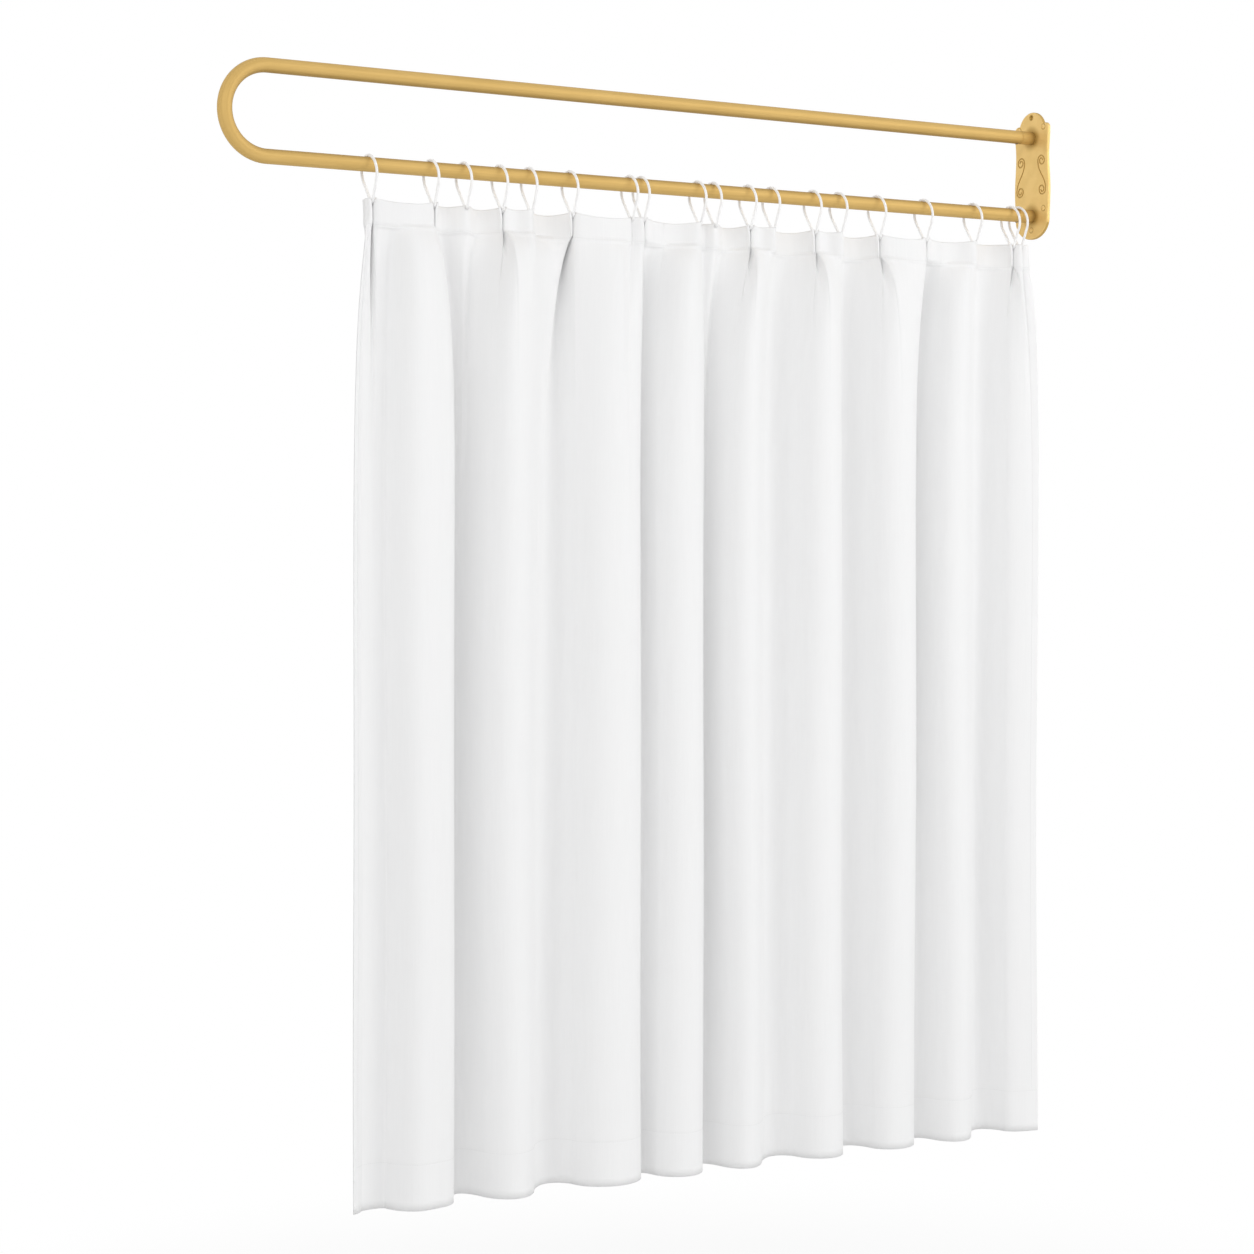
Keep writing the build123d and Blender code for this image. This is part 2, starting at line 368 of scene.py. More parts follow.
@dataclass(frozen=True)
class Effect:
    """A shader node group from a coordinate and some numbers to one number, built once."""

    name: str
    numbers: tuple[str, ...]
    result: str
    recipe: Callable[..., Socket]

    def tree(self) -> bpy.types.NodeTree:
        """The group, built from its recipe at the first use.

        Returns:
            The group's node tree.
        """
        tree = bpy.data.node_groups.get(self.name)
        if tree is None:
            tree = bpy.data.node_groups.new(self.name, "ShaderNodeTree")
            kinds = {"Coordinate": "NodeSocketVector"}
            kinds.update(dict.fromkeys(self.numbers, "NodeSocketFloat"))
            for label, kind in kinds.items():
                tree.interface.new_socket(name=label, in_out="INPUT", socket_type=kind)
            tree.interface.new_socket(
                name=self.result, in_out="OUTPUT", socket_type="NodeSocketFloat"
            )
            graph = Graph(tree)
            given = graph.add("NodeGroupInput").outputs
            made = self.recipe(graph, *(given[label] for label in kinds))
            graph.fill(graph.add("NodeGroupOutput"), made)
        return tree


def soft_patches(graph: Graph, place: Socket, size: Socket) -> Socket:
    """Soft patches: noise at a given size."""
    return graph.noise(place, size, detail=3.0, roughness=0.5)


def brush_marks(graph: Graph, place: Socket, fineness: Socket) -> Socket:
    """Brush marks: noise drawn out along the first axis of the coordinate."""
    drawn = graph.mapped(place, "Scale", BRUSH_STRETCH)
    return graph.noise(drawn, fineness, detail=5.0, roughness=0.65)


def plain_weave(graph: Graph, place: Socket, threads: Socket) -> Socket:
    """Warp and weft that take turns on top: half of one plus the product of their sines.

    Args:
        graph: The group's graph.
        place: The coordinate's socket.
        threads: Threads to a metre.

    Returns:
        The height's socket, from 0 to 1.
    """
    parts = graph.parts(place)
    turns = graph.maths("MULTIPLY", threads, math.pi)
    warp, weft = (
        graph.maths("SINE", graph.maths("MULTIPLY", parts[axis], turns)) for axis in (0, 1)
    )
    return graph.maths("MULTIPLY_ADD", graph.maths("MULTIPLY", warp, weft), 0.5, 0.5)


def distance_from_points(
    graph: Graph, place: Socket, across: Socket, middle: Socket, along: Socket
) -> Socket:
    """Distance in Y and Z from the nearest of points mirrored across Y and about a height.

    Args:
        graph: The group's graph.
        place: The coordinate's socket.
        across: The points' distance from Y = 0.
        middle: The height between them.
        along: Their distance from that height.

    Returns:
        The distance's socket, the root of the sum of both squares.
    """
    parts = graph.parts(place)
    sideways = graph.maths("SUBTRACT", graph.maths("ABSOLUTE", parts[1]), across)
    height = graph.maths("ABSOLUTE", graph.maths("SUBTRACT", parts[2], middle))
    upright = graph.maths("SUBTRACT", height, along)
    square = graph.maths("MULTIPLY", upright, upright)
    return graph.maths("SQRT", graph.maths("MULTIPLY_ADD", sideways, sideways, square))


PATCHES = Effect("soft_patches", ("Patches per metre",), "Patch", soft_patches)
MARKS = Effect("brush_marks", ("Fineness",), "Mark", brush_marks)
WEAVE = Effect("plain_weave", ("Threads per metre",), "Height", plain_weave)
APART = Effect(
    "distance_from_points", ("Across", "Middle", "Along"), "Distance", distance_from_points
)


class Place(Enum):
    """Where a finish reads its pattern from."""

    OBJECT = "Object"
    MAP = "UV"


class Paint(Graph):
    """A material's tree, with its Principled shader and the coordinate of its patterns."""

    def __init__(self, name: str, place: Place) -> None:
        """Starts the material under its name."""
        self.material = bpy.data.materials.new(name)
        self.material.use_nodes = True
        super().__init__(self.material.node_tree)
        self.shader = self.tree.nodes["Principled BSDF"]
        self.place = self.add("ShaderNodeTexCoord").outputs[place.value]

    def effect(self, effect: Effect, *numbers: float, place: Socket | None = None) -> Socket:
        """Places a shared group, at the material's coordinate or another.

        Args:
            effect: The group.
            *numbers: Values of its numbers.
            place: Another coordinate's socket.

        Returns:
            The group's result.
        """
        node = self.add("ShaderNodeGroup", node_tree=effect.tree())
        coordinate = self.place if place is None else place
        return self.fill(node, coordinate, *numbers).outputs[0]

    def finish(self, values: dict[str, object], height: object, relief: float) -> None:
        """Gives the shader its values, and a relief of a height in metres.

        Args:
            values: Sockets and numbers by the shader's input.
            height: The relief's socket.
            relief: Its height.
        """
        bump = {"Strength": 1.0, "Distance": relief, "Height": height}
        normal = self.give(self.add("ShaderNodeBump"), bump).outputs[0]
        self.give(self.shader, {**values, "Normal": normal})


class Finish:
    """A procedural material, made once for each name."""

    made: dict[str, bpy.types.Material] = {}
    name: str
    place: Place

    def apply(self, paint: Paint) -> None:
        """Joins the patterns to the shader."""
        raise NotImplementedError

    def material(self) -> bpy.types.Material:
        """The finish's material, painted at its first use."""
        if self.name not in self.made:
            paint = Paint(self.name, self.place)
            self.apply(paint)
            self.made[self.name] = paint.material
        return self.made[self.name]

    def dress(self, *things: bpy.types.Object) -> None:
        """Puts the material on every slot of these objects."""
        for thing in things:
            if not thing.material_slots:
                thing.data.materials.append(self.material())
            for slot in thing.material_slots:
                slot.material = self.material()


@dataclass(frozen=True)
class BrushedGold(Finish):
    """Gold lacquer over brushed tube: fine marks along its length, with painted shade at grazing
    edges.
    """

    name: str = "brushed_gold"
    place: Place = Place.MAP
    light: Colour = (0.70, 0.47, 0.165)
    deep: Colour = (0.62, 0.405, 0.13)
    # Colour of the painted shade, mixed in at grazing edges and by the subclasses
    dark: Colour = (0.33, 0.20, 0.05)
    tone_range: Span = (0.45, 0.95)
    edge_range: Span = (0.62, 0.98)
    edge_shade: float = 0.55
    metallic: float = 0.25
    roughness: Span = (0.46, 0.58)
    specular: float = 0.12
    fineness: float = 320.0
    patches: float = 9.0
    patch_share: float = 0.4
    relief: float = 0.012 * MM

    def apply(self, paint: Paint) -> None:
        """Marks drive colour, roughness and relief; patches tone the colour, and painted shade
        darkens it at grazing edges and wherever a subclass paints more.

        Args:
            paint: The material's tree.
        """
        mark = paint.effect(MARKS, self.fineness)
        patch = paint.effect(PATCHES, self.patches)
        tone = paint.maths("MULTIPLY_ADD", patch, self.patch_share, mark)
        toned = paint.blend(paint.spread(tone, *self.tone_range), self.deep, self.light)
        facing = paint.add("ShaderNodeLayerWeight").outputs["Facing"]
        # Painted shade at grazing edges, from the Layer Weight's facing
        edge = paint.spread(facing, *self.edge_range, 0.0, self.edge_shade)
        shade = paint.maths("MAXIMUM", edge, self.shade(paint))
        values = {
            "Base Color": paint.blend(shade, toned, self.dark),
            "Roughness": paint.spread(mark, *NOISE_WIDE, *self.roughness),
            "Metallic": self.metallic,
            "Specular IOR Level": self.specular,
        }
        paint.finish(values, mark, self.relief)

    def shade(self, paint: Paint) -> object:
        """Share of painted shade, a socket or a number: none on plain lacquer."""
        return 0.0


@dataclass(frozen=True)
class TubeGold(BrushedGold):
    """Brushed gold with painted shade on the inner side of the bent tube."""

    name: str = "tube_gold"
    radius: float = 12.5 * MM
    # Painted shade on the inner side of the tube: range of the cosine and its share
    inner_range: Span = (-0.35, -0.95)
    inner_shade: float = 0.62

    def shade(self, paint: Paint) -> object:
        """Painted shade that grows with the cosine of the angle from the inner side, read from the
        map's way round.
        """
        angle = paint.maths("DIVIDE", paint.parts(paint.place)[1], self.radius)
        outward = paint.maths("COSINE", angle)
        return paint.spread(outward, *self.inner_range, 0.0, self.inner_shade)


@dataclass(frozen=True)
class CollarGold(BrushedGold):
    """Brushed gold with painted shade towards the joint with the plate."""

    name: str = "collar_gold"
    place: Place = Place.OBJECT
    # Painted shade where the collar meets the plate
    joint_range: Span = (-20 * MM, -6 * MM)
    joint_shade: float = 0.8

    def shade(self, paint: Paint) -> object:
        """Painted shade that grows smoothly over the last stretch before the plate's face."""
        along = paint.parts(paint.place)[0]
        return paint.spread(along, *self.joint_range, 0.0, self.joint_shade)


@dataclass(frozen=True)
class Points:
    """Points on the plate, mirrored across Y and about a height, and the painted shade round them.
    """

    across: float
    middle: float
    along: float
    shade_range: Span
    shade: float

    def shading(self, paint: Paint) -> Socket:
        """Share of painted shade or shadow, which falls with the distance from the nearest point.
        """
        away = paint.effect(APART, self.across, self.middle, self.along)
        return paint.spread(away, *self.shade_range, self.shade, 0.0)


@dataclass(frozen=True)
class SatinGold(Finish):
    """Gold lacquer over a pressed plate: fine grain, painted shade in its grooves and round its
    screws, painted shadow round its collars.
    """

    name: str = "satin_gold"
    place: Place = Place.OBJECT
    light: Colour = (0.88, 0.61, 0.23)
    deep: Colour = (0.835, 0.57, 0.205)
    # Colour of the painted shade in the scroll grooves
    groove_shade_colour: Colour = (0.56, 0.36, 0.10)
    # Colour of the painted shadow round the collars and painted shade round the screws
    dark: Colour = (0.40, 0.23, 0.035)
    # Painted shadow of the collars on the plate, and painted shade round the screw heads
    collars: Points = Points(0.0, 0.0, 75 * MM, (12 * MM, 28 * MM), 0.75)
    screws: tuple[Points, ...] = (
        Points(36 * MM, 16 * MM, 78 * MM, (4.8 * MM, 7.2 * MM), 0.8),
        Points(0.0, 7 * MM, 108 * MM, (4.8 * MM, 7.2 * MM), 0.8),
    )
    patches: float = 45.0
    grain: float = 1500.0
    metallic: float = 0.35
    roughness: Span = (0.38, 0.50)
    specular: float = 0.25
    relief: float = 0.02 * MM
    groove_reach: float = 46.5 * MM
    groove_range: Span = (-6 * MM, -5 * MM)

    def apply(self, paint: Paint) -> None:
        """Grain drives roughness and relief; depth below the face paints shade into the grooves,
        and nearness to the collars and screw heads paints shadow and shade round them.

        Args:
            paint: The material's tree.
        """
        patch = paint.effect(PATCHES, self.patches)
        grain = paint.effect(PATCHES, self.grain)
        parts = paint.parts(paint.place)
        # Painted shade in the grooves, by depth below the plate's face
        groove_shade_share = paint.spread(parts[0], *self.groove_range)
        inside = paint.maths("LESS_THAN", paint.maths("ABSOLUTE", parts[1]), self.groove_reach)
        toned = paint.blend(paint.spread(patch, *NOISE_NARROW), self.deep, self.light)
        lined = paint.blend(paint.maths("MULTIPLY", groove_shade_share, inside), toned, self.groove_shade_colour)
        # Painted shadow round the collars and painted shade round the screws
        shade = self.collars.shading(paint)
        for points in self.screws:
            shade = paint.maths("MAXIMUM", shade, points.shading(paint))
        values = {
            "Base Color": paint.blend(shade, lined, self.dark),
            "Roughness": paint.spread(grain, *NOISE_WIDE, *self.roughness),
            "Metallic": self.metallic,
            "Specular IOR Level": self.specular,
        }
        paint.finish(values, grain, self.relief)


@dataclass(frozen=True)
class Enamel(Finish):
    """White enamel on bent wire, a little uneven."""

    name: str = "white_enamel"
    place: Place = Place.OBJECT
    light: Colour = (0.95, 0.95, 0.955)
    deep: Colour = (0.92, 0.92, 0.93)
    patches: float = 260.0
    roughness: Span = (0.32, 0.45)
    glow: float = 0.8
    glow_depth: float = 5 * MM
    relief: float = 0.03 * MM

    def apply(self, paint: Paint) -> None:
        """Soft patches tone the colour and the gloss.

        Args:
            paint: The material's tree.
        """
        patch = paint.effect(PATCHES, self.patches)
        share = paint.spread(patch, *NOISE_NARROW)
        values = {
            "Base Color": paint.blend(share, self.deep, self.light),
            "Roughness": paint.spread(patch, *NOISE_WIDE, *self.roughness),
            "Subsurface Weight": self.glow,
            "Subsurface Radius": (1.0, 1.0, 1.0),
            "Subsurface Scale": self.glow_depth,
        }
        paint.finish(values, patch, self.relief)


@dataclass(frozen=True)
class BareSteel(Finish):
    """Turned or blackened steel of the hidden bars and screws."""

    name: str = "bare_steel"
    place: Place = Place.OBJECT
    light: Colour = (0.52, 0.52, 0.53)
    deep: Colour = (0.38, 0.38, 0.40)
    turning: Triple = (50.0, 1.0, 1.0)
    fineness: float = 700.0
    patches: float = 120.0
    patch_share: float = 0.5
    tone_range: Span = (0.5, 1.0)
    roughness: Span = (0.28, 0.45)
    metallic: float = 0.9
    relief: float = 0.02 * MM

    def apply(self, paint: Paint) -> None:
        """Turning marks and patches tone colour and roughness.

        Args:
            paint: The material's tree.
        """
        turned = paint.mapped(paint.place, "Scale", self.turning)
        mark = paint.effect(MARKS, self.fineness, place=turned)
        patch = paint.effect(PATCHES, self.patches)
        tone = paint.maths("MULTIPLY_ADD", patch, self.patch_share, mark)
        share = paint.spread(tone, *self.tone_range)
        values = {
            "Base Color": paint.blend(share, self.deep, self.light),
            "Roughness": paint.spread(mark, *NOISE_WIDE, *self.roughness),
            "Metallic": self.metallic,
        }
        paint.finish(values, mark, self.relief)


@dataclass(frozen=True)
class Cloth(Finish):
    """Soft white cloth: plain weave and faint slubs."""

    name: str = "white_cloth"
    place: Place = Place.MAP
    light: Colour = (0.925, 0.925, 0.925)
    deep: Colour = (0.90, 0.90, 0.902)
    threads: float = 1600.0
    slubs: float = 500.0
    weave_share: float = 0.3
    tone_range: Span = (0.4, 0.95)
    roughness: Span = (0.92, 0.80)
    specular: float = 0.25
    sheen: float = 0.12
    sheen_roughness: float = 0.5
    relief: float = 0.08 * MM

    def apply(self, paint: Paint) -> None:
        """Weave gives the relief; slubs drawn along the thread tone the colour.

        Args:
            paint: The material's tree.
        """
        height = paint.effect(WEAVE, self.threads)
        upright = paint.mapped(paint.place, "Rotation", (0.0, 0.0, math.pi / 2.0))
        slub = paint.effect(MARKS, self.slubs, place=upright)
        tone = paint.maths("MULTIPLY_ADD", height, self.weave_share, slub)
        share = paint.spread(tone, *self.tone_range)
        values = {
            "Base Color": paint.blend(share, self.deep, self.light),
            "Roughness": paint.spread(height, 0.0, 1.0, *self.roughness),
            "Specular IOR Level": self.specular,
            "Sheen Weight": self.sheen,
            "Sheen Roughness": self.sheen_roughness,
        }
        paint.finish(values, height, self.relief)


DARK_STEEL = BareSteel(name="dark_steel", light=(0.10, 0.095, 0.085), deep=(0.05, 0.048, 0.045))
# A lighter copy of the plate's gold: a painted highlight on the screw heads
HIGHLIT_SCREW_GOLD = SatinGold(
    name="screw_gold",
    light=(0.92, 0.66, 0.27),
    deep=(0.88, 0.62, 0.24),
    groove_reach=0.0,
    screws=(),
)
WHITE_THREAD = Cloth(name="white_thread", light=(0.86, 0.86, 0.86), deep=(0.78, 0.78, 0.78))


# Rail


@dataclass
class Rail:
    """The bent tube and the two grub screws that hold its legs."""

    wall: float = 1.5 * MM
    lip: float = 0.4 * MM
    sides: int = 72
    leg_steps: int = 30
    bend_steps: int = 64
    finish: TubeGold = TubeGold()
    screw_finish: BareSteel = DARK_STEEL

    def __post_init__(self) -> None:
        """Reads the tube's box and radius from the frame."""
        self.low, self.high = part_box("u_rod")
        self.radius = (self.high.y - self.low.y) / 2.0

    def path(self) -> tuple[np.ndarray, np.ndarray]:
        """The tube's middle line: along the upper leg, half round and back along the lower leg.

        Returns:
            Places and in-plane cross directions.
        """
        half = (self.high.z - self.low.z) / 2.0 - self.radius
        turn = self.low.x + self.radius + half
        leg = self.high.x + (turn - self.high.x) * crowded_ends(self.leg_steps)
        angle = np.linspace(0.0, math.pi, self.bend_steps + 1)[1:-1]
        flat, none = np.ones(leg.size), np.zeros(leg.size)
        x = np.concatenate([leg, turn - half * np.sin(angle), leg[::-1]])
        out_x = np.concatenate([none, -np.sin(angle), none])
        out_z = np.concatenate([flat, np.cos(angle), -flat])
        places = np.stack([x, 0.0 * x, half * out_z], axis=-1)
        return places, np.stack([out_x, 0.0 * x, out_z], axis=-1)

    def build(self) -> bpy.types.Object:
        """Carries a circle along the middle line, outside going out and inside coming back.

        The map's first axis runs along the tube and its second axis round it.

        Returns:
            The tube, closed at both ends by its wall.
        """
        places, cross = self.path()
        along = run_length(places)
        angle = full_turn(self.sides)[:, None]
        ring = np.cos(angle) * cross[:, None, :] + np.sin(angle) * np.array([0.0, 1.0, 0.0])
        outer, rim, inner = (
            places[:, None, :] + (self.radius - less) * ring
            for less in (0.0, self.lip, self.wall)
        )
        outer[[0, -1], :, 0] -= self.lip
        points = np.concatenate([rim[:1], outer, rim[-1:], inner[::-1]])
        distance = np.concatenate([along[:1], along, along[-1:], along[::-1], along[:1]])
        around = self.radius * np.linspace(0.0, 2.0 * math.pi, self.sides + 1)
        turned = np.swapaxes(points, 0, 1)[::-1]
        tube = grid_object("rail_tube", turned, around, distance, closed=(True, True))
        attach(tube, ROOT_BODY)
        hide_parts("u_rod")
        return tube

    def dress(self, tube: bpy.types.Object) -> None:
        """Gold on the tube, dark steel on the grub screws."""
        self.finish.dress(tube)
        self.screw_finish.dress(frame["nodes"]["grub_screws"])


# Wall plate


@dataclass
class WallBracket:
    """The scrolled plate with its collars, spigots, spigot screws and wall screws."""

    finish: SatinGold = SatinGold()
    collar_finish: CollarGold = CollarGold()
    steel: BareSteel = BareSteel()
    screw_finish: SatinGold = HIGHLIT_SCREW_GOLD
    head_radius: float = 4.6 * MM
    head_height: float = 2.2 * MM
    head_roundness: float = 0.7
    sink_depth: float = 1.6 * MM
    sink_radius: float = 4.416 * MM
    shank_share: float = 0.38
    arm_range: Span = (0.44 * MM, 0.66 * MM)
    reach_range: Span = (2.04 * MM, 2.4 * MM)
    cross_depth: float = 1.2 * MM
    rings: int = 26
    spokes: int = 64
    empty_hole: float = 0.1

    def screw_places(self) -> list[tuple[float, float]]:
        """The screw holes of the record's mounts, but for the empty one in the dome.

        A bolt pattern's holes lie half a spacing to each side of its place.

        Returns:
            Y and Z of each screw.
        """
        places = []
        for mount in frame["record"]["mounts"]:
            if mount["kind"] == "bolt_pattern":
                across = mount["dims"].get("spacing_x_mm", 0.0) * MM / 2.0
                along = mount["dims"]["spacing_y_mm"] * MM / 2.0
                for y in sorted({-across, across}):
                    places += [(y, mount["pos_m"][2] + z) for z in (-along, along)]
        return [(y, z) for y, z in places if abs(y) > MM or z < self.empty_hole]

    def screw_heads(self) -> bpy.types.Object:
        """Domed heads with a cross recess, closed by the cone that sits in the countersink.

        The head's height falls with a power of one minus the square of the distance from its
        middle, and the recess takes a smooth step off it where either cross arm is near.

        Returns:
            All heads as one piece.
        """
        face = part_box("wall_plate")[0].x
        share = np.linspace(0.0, 1.0, self.rings + 1)[:, None]
        angle = full_turn(self.spokes)[None, :]
        y = self.head_radius * share * np.cos(angle)
        z = self.head_radius * share * np.sin(angle)
        dome = self.head_height * (1.0 - share**2) ** self.head_roundness
        arms = 1.0 - smooth_step(np.minimum(np.abs(y), np.abs(z)), *self.arm_range)
        inside = arms * (1.0 - smooth_step(np.hypot(y, z), *self.reach_range))
        top = np.stack([face - dome + self.cross_depth * inside, y, z], axis=-1)
        back = share[::-1]
        neck = self.sink_radius * (self.shank_share + (1.0 - self.shank_share) * back)
        depth = face + self.sink_depth * (1.0 - back) + 0.0 * angle
        under = np.stack([depth, neck * np.cos(angle), neck * np.sin(angle)], axis=-1)
        closing = np.broadcast_to([face + self.sink_depth, 0.0, 0.0], (1, self.spokes, 3))
        one = np.concatenate([top, under, closing])
        places = np.array([(0.0, *place) for place in self.screw_places()])
        heads = many_grids("wall_screws", one + places[:, None, None, :])
        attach(heads, ROOT_BODY)
        return heads

    def dress(self, heads: bpy.types.Object) -> None:
        """Gold on plate, collars and screw heads, steel on what is hidden."""
        nodes = frame["nodes"]
        self.finish.dress(nodes["wall_plate"])
        self.collar_finish.dress(nodes["upper_collar"], nodes["lower_collar"])
        self.steel.dress(nodes["upper_spigot"], nodes["lower_spigot"], nodes["spigot_screws"])
        self.screw_finish.dress(heads)


# Rings


@dataclass
class Rings:
    """The nineteen pear-shaped wire rings."""

    count: int = 19
    wire_radius: float = 2.4 * MM
    finish: Enamel = Enamel()

    def nodes(self) -> list[bpy.types.Object]:
        """The rings' own solids, from the lead end to the wall."""
        numbers = range(1, self.count + 1)
        return [frame["nodes"][f"curtain_ring_{number:02d}"] for number in numbers]

    def places(self) -> np.ndarray:
        """X of each ring's foot from the lead end: the rings lean, foot towards the wall."""
        return np.array([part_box(node.name)[1].x - self.wire_radius for node in self.nodes()])

    def foot_height(self) -> float:
        """Height of the wire's middle at the foot of a ring."""
        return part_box("curtain_ring_01")[0].z + self.wire_radius

    def dress(self) -> None:
        """Enamel on every ring."""
        self.finish.dress(*self.nodes())


# Curtain


class Hold(Enum):
    """How the header crosses the rail's plane at a place along its width."""

    EDGE = "side edge of the cloth"
    PLEAT = "ring in the mouth of a tuck"
    STEP = "ring where the cloth falls back"
    RING = "ring within a panel"
    FREE = "no ring"


SOFT_HOLDS = (Hold.RING, Hold.FREE)


@dataclass(frozen=True)
class Station:
    """A place along the curtain's width where the header is held.

    Phase counts the crossings of the rail's plane at the hem: even to odd is a front, odd to even
    a back.
    """

    phase: float
    hold: Hold
    ring: int = 0
    place: float = 0.0
    tuck_length: float = 35 * MM
    window: float = 0.17
    header_back: bool = False
    slower: float = 0.0


@dataclass
class Curtain:
    """The pleated cloth, its header facing, hems, stitching and ring eyelets."""

    rings: Rings
    finish: Cloth = Cloth()
    thread_finish: Cloth = WHITE_THREAD
    stations: tuple[Station, ...] = (
        Station(0.62, Hold.EDGE),
        Station(1.5, Hold.PLEAT, ring=1, tuck_length=110 * MM),
        Station(3.13, Hold.PLEAT, ring=2, tuck_length=110 * MM, window=0.20),
        Station(3.6, Hold.RING, ring=3),
        Station(4.34, Hold.PLEAT, ring=4),
        Station(4.75, Hold.STEP, ring=5, header_back=True),
        Station(5.6, Hold.PLEAT, ring=6, tuck_length=55 * MM, window=0.42, slower=150 * MM),
        Station(6.62, Hold.RING, ring=7),
        Station(7.15, Hold.PLEAT, ring=8, tuck_length=100 * MM, window=0.25),
        Station(8.0, Hold.FREE, place=-842 * MM),
        Station(9.0, Hold.STEP, ring=9),
        Station(9.45, Hold.RING, ring=10),
        Station(10.34, Hold.PLEAT, ring=11),
        Station(11.0, Hold.STEP, ring=12),
        Station(12.34, Hold.PLEAT, ring=13),
        Station(13.0, Hold.STEP, ring=14),
        Station(14.34, Hold.PLEAT, ring=15),
        Station(15.15, Hold.PLEAT, ring=16, tuck_length=100 * MM, window=0.25),
        Station(16.0, Hold.FREE, place=-222 * MM),
        Station(17.0, Hold.STEP, ring=17),
        Station(18.16, Hold.PLEAT, ring=18),
        Station(18.38, Hold.RING, ring=19),
        Station(18.46, Hold.EDGE),
    )
    # The hem from the lead corner: X of its crossings of the rail's plane, depths of the folds
    # between them, and dips in a fold as phase, depth and half width
    hem_crossings: tuple[float, ...] = (
        -1.490, -1.440, -1.393, -1.266, -1.214, -1.108, -1.024, -0.892, -0.860, -0.760,
        -0.720, -0.632, -0.552, -0.456, -0.386, -0.287, -0.240, -0.152, -0.072, 0.071,
    )
    hem_depths: tuple[float, ...] = (
        0.020, 0.006, 0.056, 0.042, 0.052, 0.034, 0.048, 0.026, 0.044, 0.038,
        0.042, 0.033, 0.040, 0.042, 0.038, 0.036, 0.036, 0.042, 0.026,
    )
    hem_dips: tuple[Triple, ...] = ((2.58, 9 * MM, 0.17),)
    soft_falls: tuple[int, ...] = (5, 11, 17)
    fall_slope: float = 46 * MM
    soft_slope: float = 88 * MM
    rise_slope: float = 14 * MM
    # Panels of the header
    front_bulge: float = 20 * MM
    back_bulge: float = 30 * MM
    free_bulge: float = 4 * MM
    bulge_share: float = 0.36
    back_fullness: float = 0.5
    step_lean: float = 3.0
    header_height: float = 46 * MM
    header_grip: float = 0.85
    sag_share: float = 0.06
    sag_length: float = 66 * MM
    sag_past_edge: float = 20 * MM
    taut_range: Span = (20 * MM, 300 * MM)
    # Tucks and slits
    tuck_depth: float = 30 * MM
    tuck_squareness: float = 0.8
    tuck_softening: float = 2.4
    soften_length: float = 50 * MM
    tuck_hold: float = 0.9
    slit_half: float = 1.5 * MM
    slit_open: float = 3.8 * MM
    slit_reach: float = 10 * MM
    lip_height: float = 6 * MM
    lip_length: float = 70 * MM
    # How the header's plan passes into the hem's
    drift_length: float = 115 * MM
    slower_half: float = 60 * MM
    depth_length: float = 28 * MM
    ridge_half: float = 20 * MM
    ridge_length: float = 110 * MM
    wander_size: float = 1.6 * MM
    wander_waves: tuple[Span, ...] = ((2.1, 3.3), (0.9, -5.2))
    breath_share: float = 0.05
    breath_waves: tuple[Span, ...] = ((1.7, 2.6),)
    # Bands, hems and thickness
    hem_height: float = 80 * MM
    side_hem: float = 14 * MM
    band_rise: float = 2.2 * MM
    band_start: float = 0.2
    band_full: float = 0.9
    band_end: float = 0.7 * MM
    band_edge: float = 4.5 * MM
    thickness: float = 0.8 * MM
    facing_gap: float = 1.1 * MM
    flat_width: float = 2.2
    # Stitches
    seam_pull: float = 0.3 * MM
    seam_half: float = 1.2 * MM
    stitch_inset: float = 2.5 * MM
    stitch_pitch: float = 4.0 * MM
    stitch_length: float = 3.2 * MM
    stitch_rise: float = 1.6
    stitch_sink: float = 0.8
    stitch_steps: int = 5
    stitch_sides: int = 5
    thread_radius: float = 0.3 * MM
    # Rolled edges of the slits, in shares of the roll's radius
    roll_radius: float = 2.6 * MM
    roll_taper: float = 0.45
    roll_beside: float = 0.9
    roll_forward: float = 0.8
    roll_lift: float = 0.4
    roll_steps: int = 24
    roll_sides: int = 12
    # Thread round the rings' feet
    eyelet_turns: int = 6
    eyelet_steps: int = 14
    eyelet_sides: int = 6
    eyelet_thread: float = 0.5 * MM
    eyelet_sink: float = 0.8
    eyelet_bend: float = 5.0 * MM
    eyelet_swing: float = 0.85
    # Columns and levels of the mesh
    panel_steps: int = 19
    panel_least: int = 6
    tuck_steps: int = 12
    header_levels: int = 14
    middle_levels: int = 54
    hem_levels: int = 6
    middle_crowding: float = 1.5
    seam_levels: tuple[float, ...] = (-5.0, -3.5, -2.5, -1.5, -0.7, 0.0, 0.7, 1.5, 3.0, 5.0)
    seam_clear: float = 2.0 * MM
    level_slack: float = 1e-9
    draw_keep: float = 0.3
    draw_anchor: Triple = (-0.012, 0.0, 0.0)

    def __post_init__(self) -> None:
        """Reads the curtain's ends and levels from the frame and lays out its columns."""
        low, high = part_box("header_band")
        self.top = high.z
        self.ends = (low.x, high.x)
        self.drop = high.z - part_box("hem_band")[0].z
        self.fold = self.drop - self.hem_height
        self.columns = self.lay_columns()

    def station_place(self, index: int) -> float:
        """X of a station at the header."""
        station = self.stations[index]
        if station.ring:
            return float(self.rings.places()[station.ring - 1])
        if station.hold is Hold.EDGE:
            return self.ends[0] if index == 0 else self.ends[1]
        return station.place

